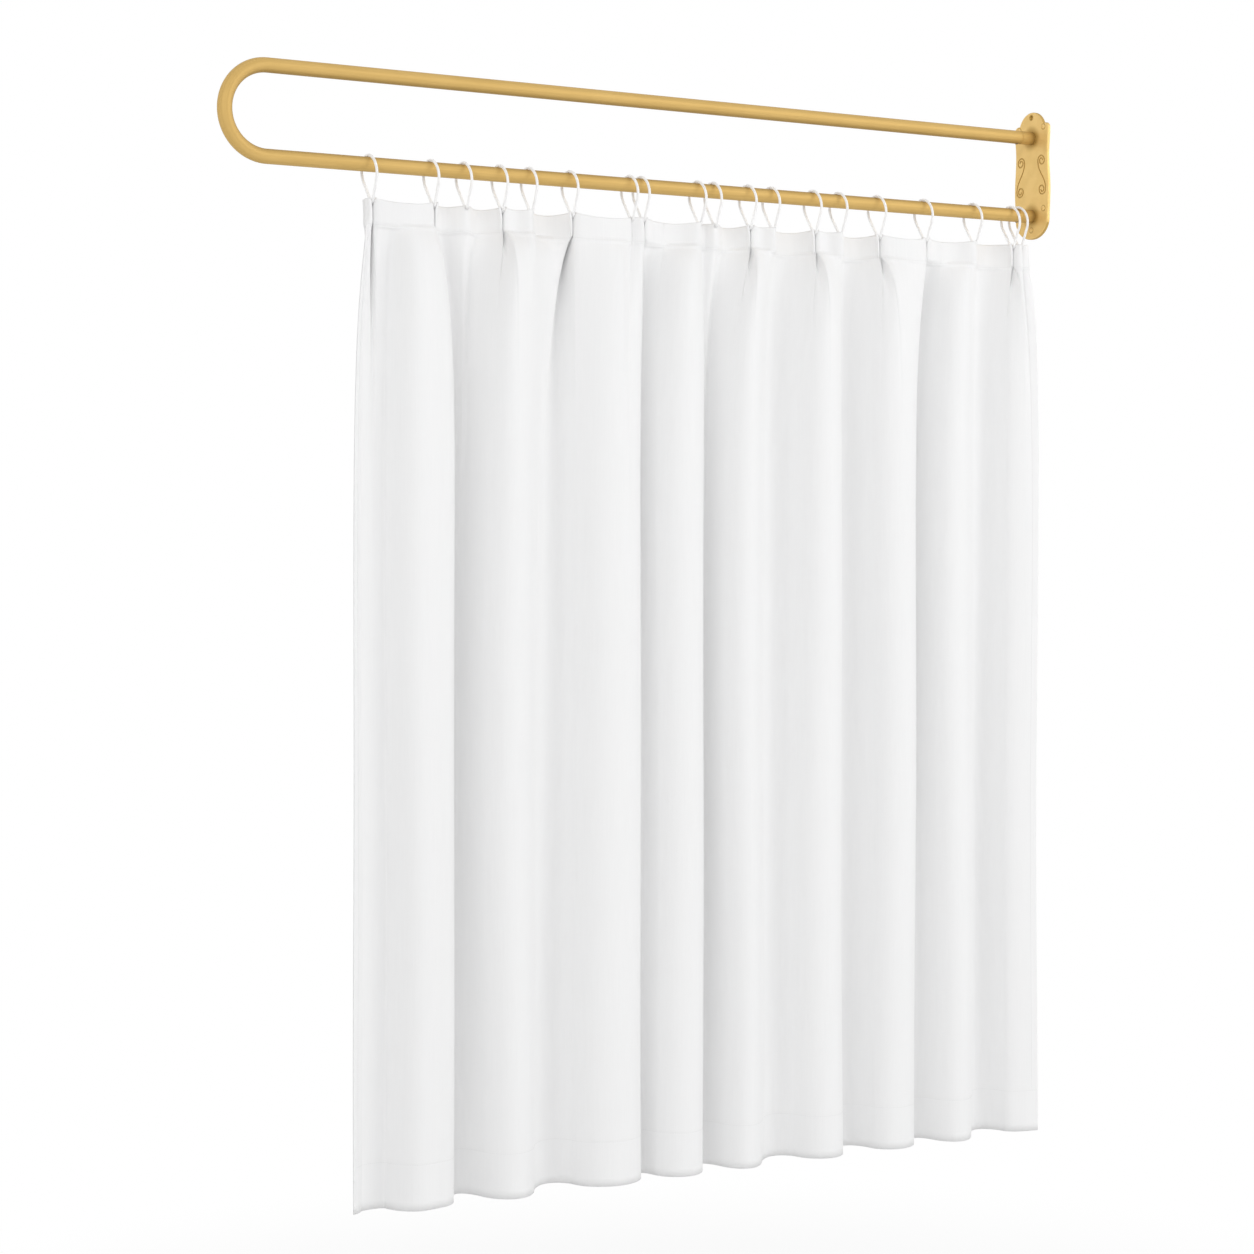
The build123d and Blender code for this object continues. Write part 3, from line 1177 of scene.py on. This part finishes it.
    def lay_columns(self) -> Columns:
        """Lays out the columns: a tuck at each pleat and a panel from each station to the next.

        Returns:
            By column: phase, header X and Y, pull of the slit, share of a tuck's depth, the length
            over which the tuck fades, nearness to a ring that holds a ridge, share of a lip's
            height, and the length over which the cloth drifts along the rail.
        """
        places = [self.station_place(index) for index in range(len(self.stations))]
        runs = []
        for index, station in enumerate(self.stations):
            if station.hold is Hold.PLEAT:
                runs.append(self.tuck(station, places[index]))
            if index + 1 < len(self.stations):
                runs.append(self.panel(index, *places[index : index + 2]))
        columns = {name: np.concatenate([run[name] for run in runs]) for name in runs[0]}
        slower = np.array([station.slower for station in self.stations])
        near = bell(columns["x"][:, None] - np.array(places), self.slower_half)
        columns["drift"] = self.drift_length + near @ slower
        return columns

    def tuck(self, station: Station, here: float) -> Columns:
        """The tuck at a pleat: straight back by a quarter cosine, and out again the same way.

        Args:
            station: The pleat.
            here: X of its ring.

        Returns:
            The values by column but for the drift.
        """
        turn = np.sin(np.linspace(-0.5, 0.5, self.tuck_steps + 1) * math.pi)[1:-1]
        side = np.sin(turn * math.pi / 2.0)
        none = 0.0 * side
        return {
            "phase": station.phase + station.window * turn,
            "x": here + self.slit_half * side,
            "y": none,
            "pull": side,
            "tuck": np.cos(turn * math.pi / 2.0),
            "fade": none + station.tuck_length,
            "stay": none,
            "lip": none,
        }

    def panel(self, index: int, here: float, there: float) -> Columns:
        """One header panel, from a station to the next.

        A front is a half sine, which leans towards a step. A back is a half sine to a power that
        makes it fuller, with a squared sine on a half that ends within a panel or at no ring.

        Args:
            index: The station that it starts at.
            here: X of that station.
            there: X of the next.

        Returns:
            The values by column but for the drift.
        """
        first, last = self.stations[index], self.stations[index + 1]
        after_tuck, before_tuck = first.hold is Hold.PLEAT, last.hold is Hold.PLEAT
        start = first.phase + first.window * after_tuck
        end = last.phase - last.window * before_tuck
        share = crowded_ends(round(self.panel_steps * (end - start)) + self.panel_least)
        if not before_tuck and last.hold is not Hold.EDGE:
            share = share[:-1]
        width = there - here
        if first.header_back or math.floor((start + end) / 2.0) % 2 == 1:
            full = np.sin(math.pi * share) ** self.back_fullness
            soft = 0.5 - 0.5 * np.cos(2.0 * math.pi * share)
            rounded = np.where(share < 0.5, first.hold in SOFT_HOLDS, last.hold in SOFT_HOLDS)
            bulge = min(self.back_bulge, self.bulge_share * width)
            if last.hold is Hold.FREE:
                bulge = self.free_bulge
            y = bulge * np.where(rounded, soft, full)
        else:
            swept = share**self.step_lean if last.hold is Hold.STEP else share
            y = -min(self.front_bulge, self.bulge_share * width) * np.sin(math.pi * swept)
        clear = width - self.slit_half * (after_tuck + before_tuck)
        x = here + self.slit_half * after_tuck + clear * share
        near_start = after_tuck * np.exp(-(x - here) / self.slit_reach)
        near_end = before_tuck * np.exp(-(there - x) / self.slit_reach)
        near = near_start + near_end
        return {
            "phase": start + (end - start) * share,
            "x": x,
            "y": y,
            "pull": near_start - near_end,
            "tuck": 0.0 * x,
            "fade": 0.0 * x + self.depth_length,
            "stay": (first.hold is Hold.RING) * bell(x - here, self.ridge_half)
            + (last.hold is Hold.RING) * bell(there - x, self.ridge_half),
            "lip": 4.0 * near * (1.0 - near),
        }

    def hem_plan(self) -> tuple[np.ndarray, np.ndarray]:
        """The hem from above: a half sine to each side between crossings, less its dips.

        X runs from crossing to crossing along a cubic whose slope is small where the cloth comes
        forward and larger where it falls back.

        Returns:
            X and Y by column.
        """
        phase = self.columns["phase"]
        crossing = np.array(self.hem_crossings)
        falls = np.arange(crossing.size) % 2 == 1
        slope = np.where(falls, self.fall_slope, self.rise_slope)
        slope[list(self.soft_falls)] = self.soft_slope
        whole = np.clip(np.floor(phase).astype(int), 0, crossing.size - 2)
        t = phase - whole
        x = (
            (1.0 + 2.0 * t) * (1.0 - t) ** 2 * crossing[whole]
            + t * (1.0 - t) ** 2 * slope[whole]
            + t * t * (3.0 - 2.0 * t) * crossing[whole + 1]
            + t * t * (t - 1.0) * slope[whole + 1]
        )
        front = np.where(whole % 2 == 0, -1.0, 1.0)
        y = front * np.array(self.hem_depths)[whole] * np.sin(math.pi * t)
        for middle, depth, half in self.hem_dips:
            y = y + depth * bell(phase - middle, half)
        return x, y

    def sag(self, x: np.ndarray) -> np.ndarray:
        """How far the top edge hangs between rings: a parabola over each space, taut at the wall.

        Args:
            x: Header X by column.

        Returns:
            The sag by column.
        """
        lead, wall = self.ends
        past = self.sag_past_edge
        held = np.concatenate([[lead - past], self.rings.places(), [wall + past]])
        after = np.clip(np.searchsorted(held, x, side="right"), 1, held.size - 1)
        space = held[after] - held[after - 1]
        share = (x - held[after - 1]) / space
        slack = smooth_step(wall - x, *self.taut_range)
        return slack * self.sag_share * space * 4.0 * share * (1.0 - share)

    def slit_gap(self, below: np.ndarray) -> np.ndarray:
        """How much wider than closed a slit is on each side: a bell below the eyelet."""
        return (self.slit_open - self.slit_half) * bell(below, self.slit_reach)

    def waves(self, level: np.ndarray, factors: tuple[Span, ...]) -> np.ndarray:
        """The sum of sines of phase and level, each times its own factor."""
        phase = self.columns["phase"]
        return sum(np.sin(across * phase + down * level) for across, down in factors)

    def surface(self, below: np.ndarray) -> np.ndarray:
        """The cloth at given distances below its top edge.

        Each level is a mix of the header's plan and the hem's plan. The hem's share grows towards
        one with an exponential below the header band, faster in depth than along the rail, and
        slower near a ring that holds a ridge. The depth of a tuck falls with an exponential of its
        own, and the power that shapes its mouth grows with the distance below the band.

        Args:
            below: Distances below the top edge.

        Returns:
            Places by level and column.
        """
        cols = self.columns
        hem_x, hem_y = self.hem_plan()
        level = below[:, None]
        loose = np.maximum(level - self.header_grip * self.header_height, 0.0)
        drift = 1.0 - np.exp(-loose / cols["drift"])
        share = 1.0 - np.exp(-loose / (self.depth_length + self.ridge_length * cols["stay"]))
        header_x = cols["x"] + cols["pull"] * self.slit_gap(level)
        wander = self.wander_size * self.waves(level, self.wander_waves)
        x = header_x + drift * (hem_x - header_x + wander)
        breath = 1.0 + self.breath_share * self.waves(level, self.breath_waves)
        softer = self.tuck_softening * loose / (loose + self.soften_length)
        mouth = cols["tuck"] ** (self.tuck_squareness + softer)
        tuck = self.tuck_depth * mouth * np.exp(-loose / cols["fade"])
        lip = self.lip_height * cols["lip"] * np.exp(-loose / self.lip_length)
        y = cols["y"] + share * (hem_y * breath - cols["y"]) + tuck - lip
        z = self.top - level - self.sag(cols["x"]) * np.exp(-level / self.sag_length)
        return np.stack([x, y, z], axis=-1)

    def levels(self) -> np.ndarray:
        """Distances below the top edge: fine at the header and at both seams, coarse between.

        Returns:
            The distances in rising order.
        """
        near = np.array(self.seam_levels) * MM
        seam, fold = self.header_height, self.fold
        reach = near[-1] + self.seam_clear
        header = np.linspace(0.0, seam - reach, self.header_levels)
        share = np.linspace(0.0, 1.0, self.middle_levels) ** self.middle_crowding
        middle = seam + reach + (fold - seam - 2.0 * reach) * share
        hem = np.linspace(fold + reach, self.drop, self.hem_levels)
        return np.concatenate([header, seam + near, middle, fold + near, hem])

    def stitch_levels(self) -> dict[str, float]:
        """Distance below the top edge of each level row of stitches."""
        inset = self.stitch_inset
        return {"header_stitches": self.header_height - inset, "hem_stitches": self.fold + inset}

    def proud(self, below: np.ndarray) -> np.ndarray:
        """How far the front stands out from the plain cloth, by level.

        The doubled header band stands out more towards its seam and ends there in a smooth step,
        and each row of stitches pulls the cloth in by a narrow bell.

        Args:
            below: Distances below the top edge.

        Returns:
            Distances along the cloth's outward direction.
        """
        seam = self.header_height
        grown = smooth_step(below, 0.0, self.band_full * seam)
        swell = self.band_rise * (self.band_start + (1.0 - self.band_start) * grown)
        band = swell * (1.0 - smooth_step(below, seam - self.band_end, seam + self.band_edge))
        rows = np.array(list(self.stitch_levels().values()))
        pulled = bell(below[:, None] - rows, self.seam_half).sum(axis=1)
        return band - self.seam_pull * pulled

    def hang(self, piece: bpy.types.Object) -> bpy.types.Object:
        """Lets a piece ride with the rail, on a mesh of its own."""
        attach(piece, ROOT_BODY)
        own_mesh(piece)
        return piece

    def cloth_piece(
        self, name: str, points: np.ndarray, across: np.ndarray, down: np.ndarray
    ) -> bpy.types.Object:
        """A sheet of cloth with its thickness.

        Args:
            name: The piece's name.
            points: Places by level and column.
            across: Map distance of each column.
            down: Map distance of each level.

        Returns:
            The new object, hung.
        """
        piece = grid_object(name, points, down, across)
        solid = piece.modifiers.new("thickness", "SOLIDIFY")
        solid.thickness = self.thickness
        solid.offset = 0.0
        self.finish.dress(piece)
        return self.hang(piece)

    def build(self) -> list[bpy.types.Object]:
        """The outward direction is the slope down the cloth turned by the slope across it.

        Returns:
            The pieces.
        """
        below = self.levels()
        plain = self.surface(below)
        outward = unit(np.cross(*np.gradient(plain, axis=(0, 1))))
        across = run_length(plain[-1])
        held = np.maximum(np.abs(self.columns["pull"]), np.sign(self.columns["tuck"]))
        flush = 1.0 - self.tuck_hold * held
        points = plain + (self.proud(below)[:, None] * flush)[:, :, None] * outward
        behind = plain - self.facing_gap * outward
        panel = self.cloth_piece("curtain_cloth", points, across, below)
        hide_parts("header_band", "curtain_panel", "hem_band")
        header = np.flatnonzero(below <= self.header_height + self.level_slack)
        hem = np.flatnonzero(below >= self.fold - self.level_slack)
        lead = np.flatnonzero(across <= self.side_hem)
        wall = np.flatnonzero(across >= across[-1] - self.side_hem)
        body, whole = np.arange(header[-1], hem[0] + 1), np.arange(across.size)
        parts = {
            "header_facing": (header, whole),
            "bottom_hem": (hem, whole),
            "lead_side_hem": (body, lead),
            "wall_side_hem": (body, wall),
        }
        strips = [
            self.cloth_piece(name, behind[np.ix_(rows, cols)], across[cols], below[rows])
            for name, (rows, cols) in parts.items()
        ]
        strips.append(self.slit_rolls())
        strips += self.stitching(points, outward, below, (lead[-1], wall[0]))
        [node.name for node in self.rings.nodes()]
        lengths = across[-1], run_length(plain[0])[-1]
        LOG.info("cloth is %.3f m along the hem and %.3f m along the header", *lengths)
        return [panel, *strips, *self.eyelets()]

    def thread_piece(self, name: str, tubes: np.ndarray) -> bpy.types.Object:
        """Closes many short tubes at their tips and makes them one piece.

        Args:
            name: The piece's name.
            tubes: Places by tube, step and side.

        Returns:
            The new object, dressed.
        """
        sides = tubes.shape[2]
        tips = np.repeat(tubes[:, [0, -1]].mean(axis=2, keepdims=True), sides, axis=2)
        piece = many_grids(name, np.concatenate([tips[:, :1], tubes, tips[:, 1:]], axis=1))
        self.thread_finish.dress(piece)
        return piece

    def stitch_row(self, line: np.ndarray, outward: np.ndarray) -> np.ndarray:
        """Stitches along a line on the cloth: short arcs that dip into the cloth at both ends.

        Args:
            line: Places along the line.
            outward: The cloth's outward direction at those places.

        Returns:
            Tubes by stitch, step and side.
        """
        run = run_length(line)
        start = np.arange(self.stitch_pitch, run[-1] - self.stitch_pitch, self.stitch_pitch)
        share = np.linspace(0.0, 1.0, self.stitch_steps)
        at = start[:, None] + self.stitch_length * share
        place, normal = (
            np.stack([np.interp(at, run, values[:, axis]) for axis in range(3)], axis=-1)
            for values in (line, outward)
        )
        normal = unit(normal)
        arc = self.stitch_rise * np.sin(math.pi * share) - self.stitch_sink
        lift = 0.5 * self.thickness + self.thread_radius * arc
        path = place + lift[:, None] * normal
        return many_tubes(path, normal, self.thread_radius, self.stitch_sides)

    def stitching(
        self, points: np.ndarray, outward: np.ndarray, below: np.ndarray, inner: tuple[int, int]
    ) -> list[bpy.types.Object]:
        """Rows of stitches above the header's seam, on the hem and down both side hems.

        Args:
            points: The cloth's places by level and column.
            outward: Its outward directions.
            below: Distance below the top edge of each level.
            inner: Columns at the inner edges of the side hems.

        Returns:
            One piece for each row.
        """
        lines = {
            name: np.index_exp[int(np.argmin(np.abs(below - level)))]
            for name, level in self.stitch_levels().items()
        }
        body = (below > self.header_height) & (below < self.fold)
        for name, column in zip(("lead_side_stitches", "wall_side_stitches"), inner):
            lines[name] = np.index_exp[body, column]
        return [
            self.hang(self.thread_piece(name, self.stitch_row(points[line], outward[line])))
            for name, line in lines.items()
        ]

    def slit_rolls(self) -> bpy.types.Object:
        """Rolled edges down both sides of each tuck's mouth, from the top edge to the seam.

        A roll lies beside the slit by the slit's own half width there, and narrows downwards.

        Returns:
            All rolls as one piece.
        """
        places = self.rings.places()
        pleats = [station for station in self.stations if station.hold is Hold.PLEAT]
        held = np.array([places[station.ring - 1] for station in pleats])
        below = np.linspace(0.0, self.header_height - self.stitch_inset, self.roll_steps)
        radius = self.roll_radius * (1.0 - self.roll_taper * below / self.header_height)
        beside = self.slit_half + self.slit_gap(below) + self.roll_beside * radius
        x = held[:, None, None] + np.array([-1.0, 1.0])[:, None] * beside
        y = -self.roll_forward * radius + 0.0 * x
        z = self.top + self.roll_lift * self.roll_radius - below + 0.0 * x
        paths = np.stack([x, y, z], axis=-1).reshape(-1, self.roll_steps, 3)
        tubes = many_tubes(paths, np.array([0.0, 1.0, 0.0]), radius, self.roll_sides)
        rolls = self.thread_piece("slit_rolls", tubes)
        self.finish.dress(rolls)
        return self.hang(rolls)

    def eyelets(self) -> list[bpy.types.Object]:
        """Thread wound round the foot of each ring, where it goes through the header.

        The thread is a helix whose axis follows the ring's foot: a short arc of the foot's radius.

        Returns:
            One piece for each ring, which moves with its ring.
        """
        turn = np.linspace(-1.0, 1.0, self.eyelet_turns * self.eyelet_steps + 1)
        swing, none, bend = self.eyelet_swing * turn, 0.0 * turn, self.eyelet_bend
        height = self.rings.foot_height() + bend * (1.0 - np.cos(swing))
        axis = np.stack([none, bend * np.sin(swing), height], axis=-1)
        away = np.stack([none, np.sin(swing), -np.cos(swing)], axis=-1)
        spin = math.pi * self.eyelet_turns * turn[:, None]
        round_axis = np.cos(spin) * away + np.sin(spin) * np.array([1.0, 0.0, 0.0])
        radius = self.rings.wire_radius + self.eyelet_sink * self.eyelet_thread
        path = axis + radius * round_axis
        pieces = []
        for number, place in enumerate(self.rings.places(), start=1):
            moved = path + np.array([place, 0.0, 0.0])
            tube = many_tubes(moved[None], round_axis[None], self.eyelet_thread, self.eyelet_sides)
            piece = self.thread_piece(f"ring_thread_{number:02d}", tube)
            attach(piece, f"ring_{number:02d}")
            pieces.append(piece)
        return pieces


# Studio


@dataclass
class Studio:
    """White floor and world, soft lamps and the camera."""

    floor_level: float = -2.2
    floor_half: float = 30.0
    floor_colour: Colour = (0.9, 0.9, 0.9)
    floor_roughness: float = 0.9
    near_white: float = 0.85
    shadow_reach: Span = (0.7, 1.9)
    image: float = 1254.0
    focal: float = 3000.0
    horizon: float = 570.0
    heading: float = 31.6
    eye: Triple = (-3.689, -4.504, -0.754)
    sensor: float = 36.0
    clip_end: float = 200.0
    middle: Triple = (-0.8, 0.0, -0.7)
    band_light: float = 1.0
    sky_light: float = 0.24
    lamp_size: float = 2.6
    key_place: Triple = (2.4, -4.2, 1.2)
    key_power: float = 68.0
    fill_place: Triple = (-4.5, -3.2, 1.0)
    fill_power: float = 32.0

    def white_for_camera(self, graph: Graph) -> Socket:
        """One for rays from the camera, mirror rays and rays through glass, else nothing."""
        light = graph.add("ShaderNodeLightPath").outputs
        seen = graph.maths("MAXIMUM", light["Is Camera Ray"], light["Is Glossy Ray"])
        return graph.maths("MAXIMUM", seen, light["Is Transmission Ray"])

    def world(self) -> None:
        """A white world to the eye, which lights the object softly from all round.

        The light is strongest from the horizon and falls to a lower level straight above and below,
        with the fourth power of the cosine of the elevation.
        """
        world = bpy.data.worlds.new("white_studio")
        world.use_nodes = True
        bpy.context.scene.world = world
        graph = Graph(world.node_tree)
        up = graph.parts(graph.add("ShaderNodeTexCoord").outputs["Generated"])[2]
        level = graph.maths("SUBTRACT", 1.0, graph.maths("POWER", up, 2.0))
        squared = graph.maths("POWER", level, 2.0)
        band = graph.maths("MULTIPLY_ADD", squared, self.band_light, self.sky_light)
        seen = self.white_for_camera(graph)
        lit = graph.maths("MULTIPLY", band, graph.maths("SUBTRACT", 1.0, seen))
        values = {"Color": (1.0, 1.0, 1.0, 1.0), "Strength": graph.maths("ADD", lit, seen)}
        graph.give(world.node_tree.nodes["Background"], values)

    def floor(self) -> bpy.types.Object:
        """A wide pale floor that is white to the eye but for the object's faint shadow.

        The share of plain white grows from near_white under the object to one further out.

        Returns:
            The floor.
        """
        line = np.array([-self.floor_half, self.floor_half])
        x, y = np.meshgrid(line, line)
        points = np.stack([x, y, 0.0 * x + self.floor_level], axis=-1)
        floor = grid_object("studio_floor", points)
        paint = Paint("pale_floor", Place.OBJECT)
        values = {"Base Color": (*self.floor_colour, 1.0), "Roughness": self.floor_roughness}
        paint.give(paint.shader, values)
        away = paint.add("ShaderNodeVectorMath", operation="DISTANCE")
        paint.fill(away, paint.place, (*self.middle[:2], self.floor_level))
        white = paint.spread(away.outputs["Value"], *self.shadow_reach, self.near_white, 1.0)
        share = paint.maths("MULTIPLY", self.white_for_camera(paint), white)
        glow = paint.add("ShaderNodeEmission").outputs[0]
        mixed = paint.fill(paint.add("ShaderNodeMixShader"), share, paint.shader.outputs[0], glow)
        paint.join(mixed.outputs[0], paint.tree.nodes["Material Output"].inputs["Surface"])
        floor.data.materials.append(paint.material)
        return floor

    def lamp(self, name: str, place: Triple, power: float) -> None:
        """A square soft lamp that points at the middle of the object.

        Args:
            name: The lamp's name.
            place: Where it stands.
            power: Its power in watts.
        """
        data = bpy.data.lights.new(name, "AREA")
        data.size = self.lamp_size
        data.energy = power
        lamp = bpy.data.objects.new(name, data)
        lamp.location = place
        aim = Vector(self.middle) - Vector(place)
        lamp.rotation_euler = aim.to_track_quat("-Z", "Y").to_euler()
        bpy.context.scene.collection.objects.link(lamp)

    def camera(self) -> None:
        """The camera at the photograph's angle, level, with the horizon above the middle."""
        data = bpy.data.cameras.new("camera")
        data.sensor_width = self.sensor
        data.sensor_height = self.sensor
        data.lens = self.focal / self.image * self.sensor
        data.shift_y = (self.horizon - self.image / 2.0) / self.image
        data.clip_end = self.clip_end
        camera = bpy.data.objects.new("camera", data)
        camera.location = self.eye
        camera.rotation_euler = (math.radians(90.0), 0.0, -math.radians(self.heading))
        bpy.context.scene.collection.objects.link(camera)
        bpy.context.scene.camera = camera

    def build(self) -> None:
        """Sets up everything round the object: lamps from the wall's side and the lead side."""
        bpy.context.scene.view_settings.view_transform = "Standard"
        self.world()
        self.floor()
        self.lamp("key", self.key_place, self.key_power)
        self.lamp("fill", self.fill_place, self.fill_power)
        self.camera()


def main() -> None:
    """Builds and dresses the sub-assemblies in order and reports each piece."""
    logging.basicConfig(level=logging.INFO, format="%(name)s: %(message)s")
    Studio().build()
    rail = Rail()
    tube = rail.build()
    rail.dress(tube)
    LOG.info("rail: %s", tube.name)
    bracket = WallBracket()
    heads = bracket.screw_heads()
    bracket.dress(heads)
    LOG.info("bracket: %s", heads.name)
    rings = Rings()
    rings.dress()
    LOG.info("rings: %d", rings.count)
    for piece in Curtain(rings).build():
        LOG.info("curtain: %s", piece.name)


if __name__ == "__main__":
    main()
